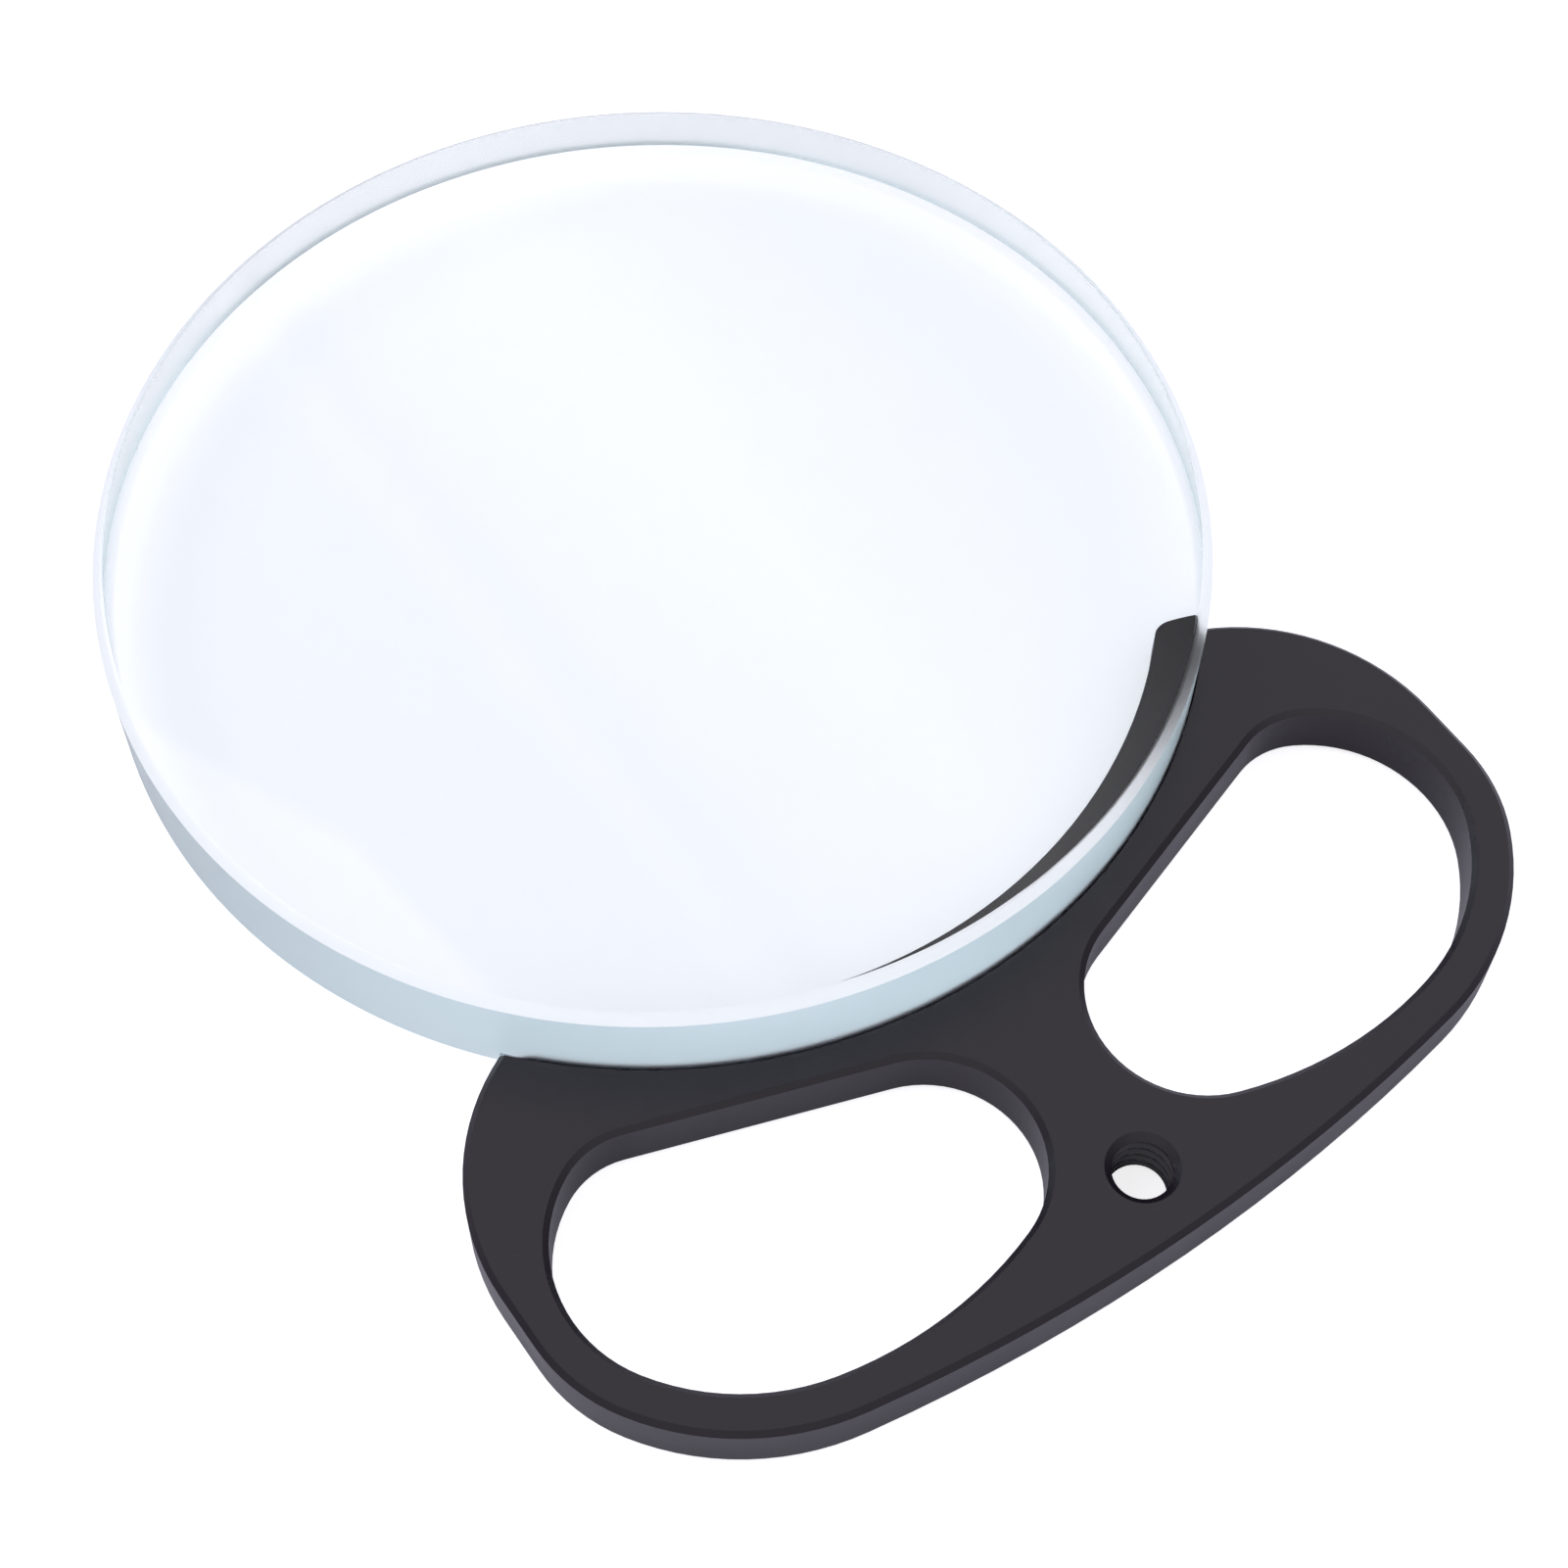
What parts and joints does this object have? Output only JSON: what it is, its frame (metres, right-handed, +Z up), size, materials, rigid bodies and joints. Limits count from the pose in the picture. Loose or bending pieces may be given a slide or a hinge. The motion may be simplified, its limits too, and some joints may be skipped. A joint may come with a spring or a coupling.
{
  "type": "viewing loupe",
  "caption": "Thick round glass disc bonded into a flat two-finger grip plate tapped for a tripod screw.",
  "frame": {"origin": "on the axis of the tripod thread, at the underside of the grip plate", "axes": "+Y from the grip to the glass, +X across the grip, +Z up through the plate to the face the glass stands out of"},
  "size_m": [0.1, 0.1282, 0.0146],
  "materials": {
    "anodised_plate": "satin black anodised",
    "clear_bond": "clear, thin film",
    "viewing_glass": "polished, faint cyan in its thickness"
  },
  "bodies": {
    "root": {"grip_plate": "anodised_plate", "bond_film": "clear_bond", "glass_disc": "viewing_glass"}
  },
  "joints": []
}
